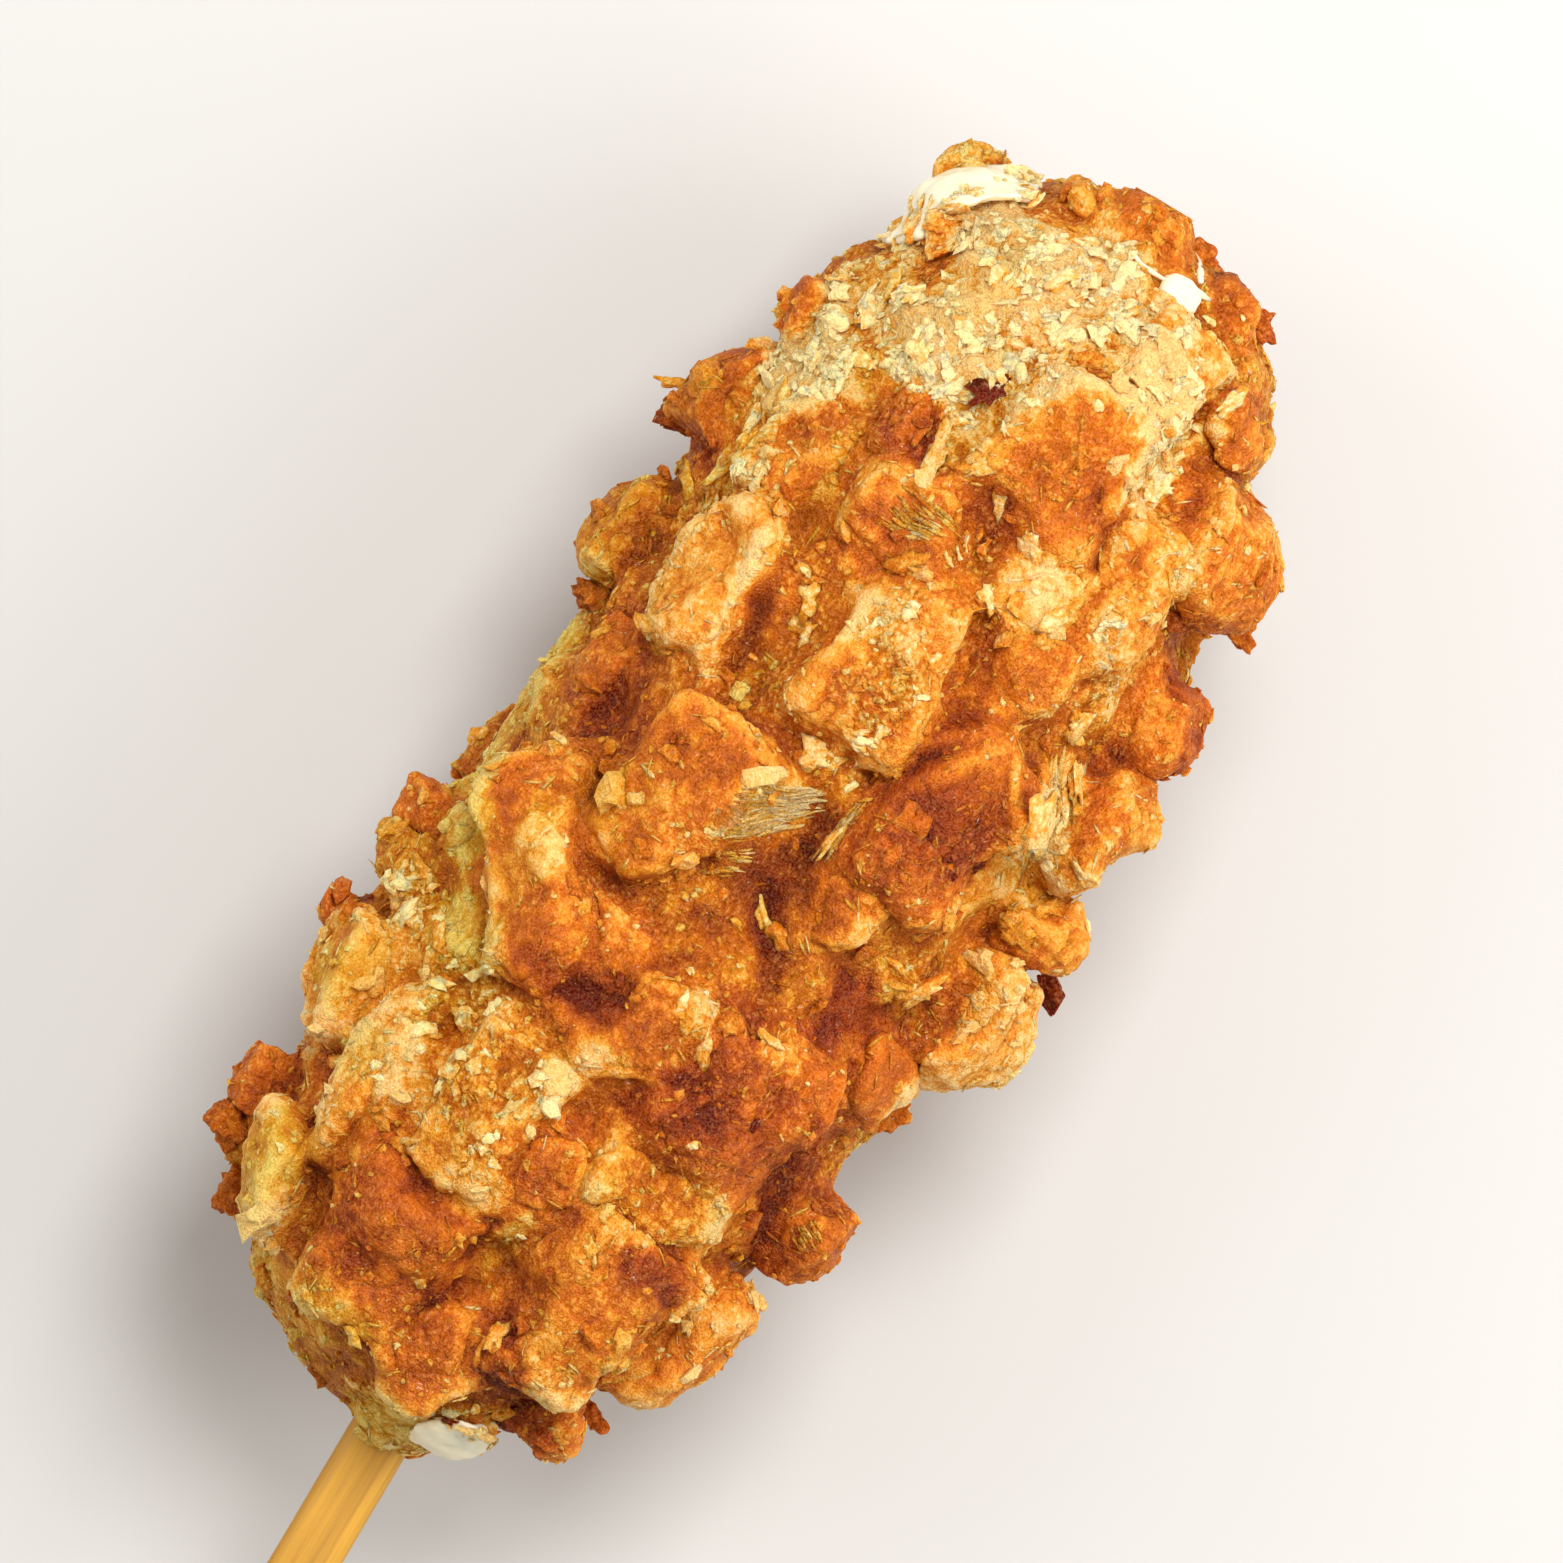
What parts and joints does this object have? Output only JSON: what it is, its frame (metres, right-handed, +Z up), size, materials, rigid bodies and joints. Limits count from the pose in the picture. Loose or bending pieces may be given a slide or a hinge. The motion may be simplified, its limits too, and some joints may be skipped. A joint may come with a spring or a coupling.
{
  "type": "chicken tender skewer",
  "caption": "Battered and deep-fried street-food skewer on a flat wooden stick, crusted all round with fried potato dice and bread crumbs, with melted cheese showing.",
  "frame": {"origin": "middle of the flat spot under the food that it rests on, straight below the stick", "axes": "+X along the stick towards the tip of the food, +Z up out of the shown side"},
  "size_m": [0.2347, 0.0717, 0.065],
  "materials": {
    "wood": "pale bare wood with lengthwise grain",
    "batter": "rough golden-brown fried batter with bread crumbs",
    "golden": "fried potato, golden, slightly oily",
    "amber": "fried potato, amber orange, slightly oily",
    "russet": "fried potato, dark russet brown, slightly oily",
    "cream": "fried potato, pale cream yellow, crumbed",
    "olive": "fried potato, tan to olive, crumbed",
    "cheese": "melted white cheese, smooth and moist"
  },
  "bodies": {
    "root": {"stick": "wood", "batter_crust": "batter", "potato_01": "golden", "potato_02": "olive", "potato_03": "russet", "potato_04": "cream", "potato_05": "russet", "potato_06": "russet", "potato_07": "cream", "potato_08": "olive", "potato_09": "russet", "potato_10": "olive", "potato_11": "amber", "potato_12": "russet", "potato_13": "olive", "potato_14": "golden", "potato_15": "russet", "potato_16": "russet", "potato_17": "olive", "potato_18": "golden", "potato_19": "amber", "potato_20": "russet", "potato_21": "amber", "potato_22": "cream", "potato_23": "amber", "potato_24": "amber", "potato_25": "amber", "potato_26": "russet", "potato_27": "amber", "potato_28": "amber", "potato_29": "golden", "potato_30": "amber", "potato_31": "cream", "potato_32": "golden", "potato_33": "russet", "potato_34": "amber", "potato_35": "russet", "potato_36": "golden", "potato_37": "amber", "potato_38": "cream", "potato_39": "amber", "potato_40": "golden", "potato_41": "cream", "potato_42": "russet", "potato_43": "amber", "potato_44": "russet", "potato_45": "russet", "potato_46": "cream", "potato_47": "golden", "potato_48": "amber", "potato_49": "russet", "potato_50": "amber", "potato_51": "russet", "potato_52": "russet", "cheese_tip": "cheese", "cheese_foot": "cheese", "cheese_drip": "cheese"}
  },
  "joints": []
}
